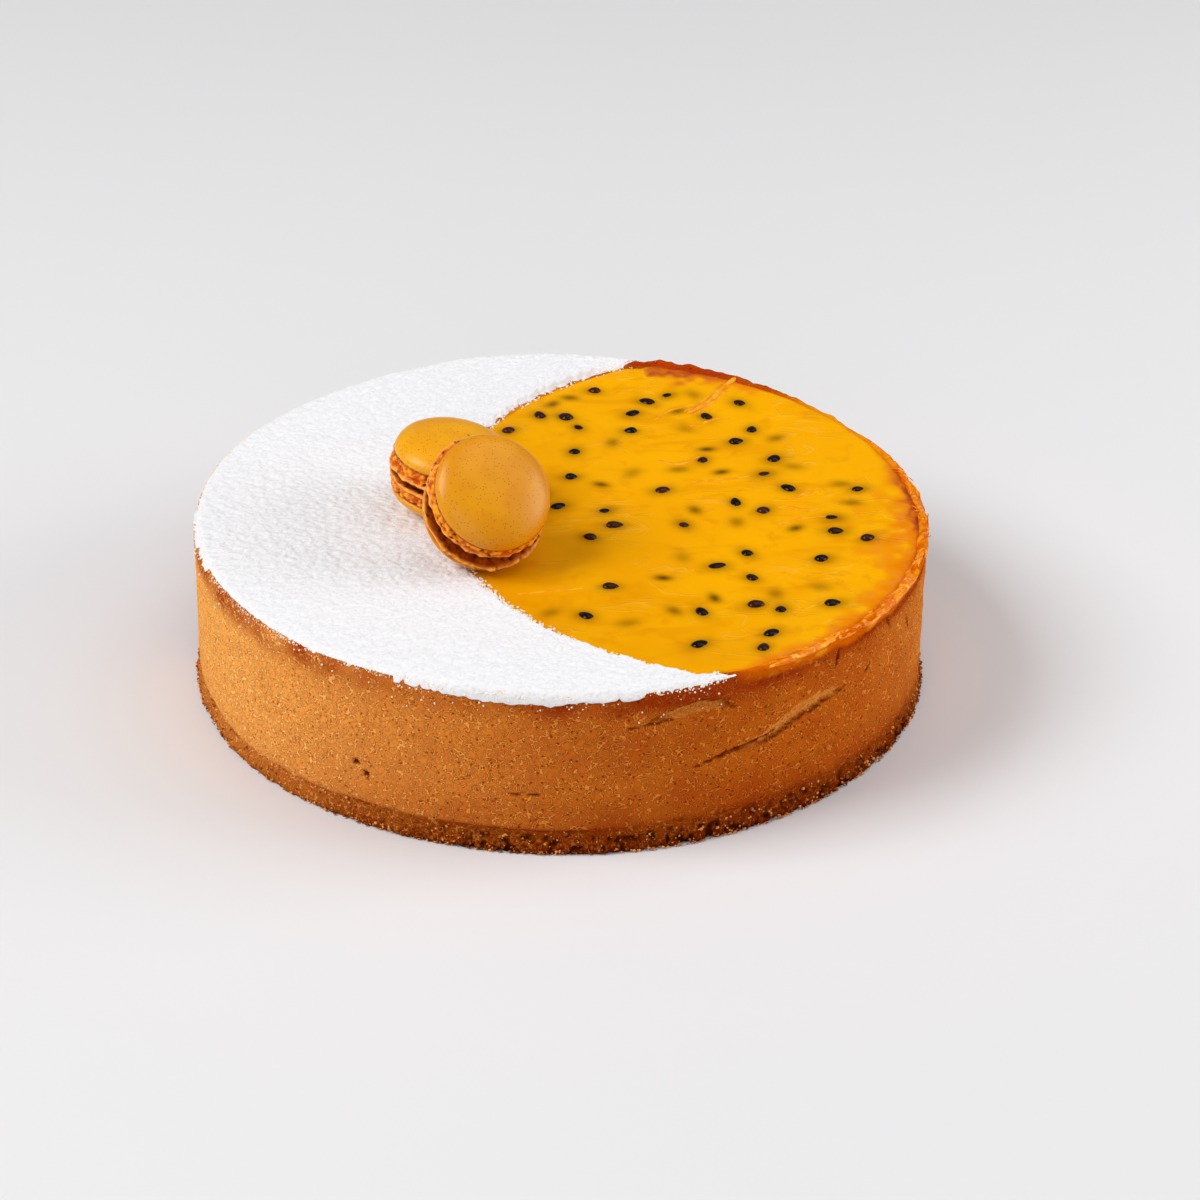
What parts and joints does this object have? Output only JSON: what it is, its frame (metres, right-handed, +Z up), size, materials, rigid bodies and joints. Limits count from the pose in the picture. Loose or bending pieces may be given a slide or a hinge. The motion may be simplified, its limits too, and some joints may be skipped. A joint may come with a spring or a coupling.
{
  "type": "passion fruit tart",
  "caption": "Deep round pastry tart filled with glossy passion fruit custard and seeds, dusted with an icing sugar crescent and topped with macarons.",
  "frame": {"origin": "middle of the flat base, on the surface the tart stands on", "axes": "+Z up, -Y towards the viewer of the picture, -X towards the broad middle of the sugar crescent"},
  "size_m": [0.2408, 0.2407, 0.0941],
  "materials": {
    "pastry": "rough baked pastry, golden brown",
    "custard": "glossy set custard, amber yellow with black seeds",
    "icing_sugar": "matt white powder",
    "macaron_shell": "satin almond shell, amber",
    "macaron_cream": "satin cream, orange brown"
  },
  "bodies": {
    "root": {"crust": "pastry", "filling": "custard", "sugar": "icing_sugar", "macaron_back_upper_shell": "macaron_shell", "macaron_back_lower_shell": "macaron_shell", "macaron_back_cream": "macaron_cream", "macaron_front_upper_shell": "macaron_shell", "macaron_front_lower_shell": "macaron_shell", "macaron_front_cream": "macaron_cream"}
  },
  "joints": []
}
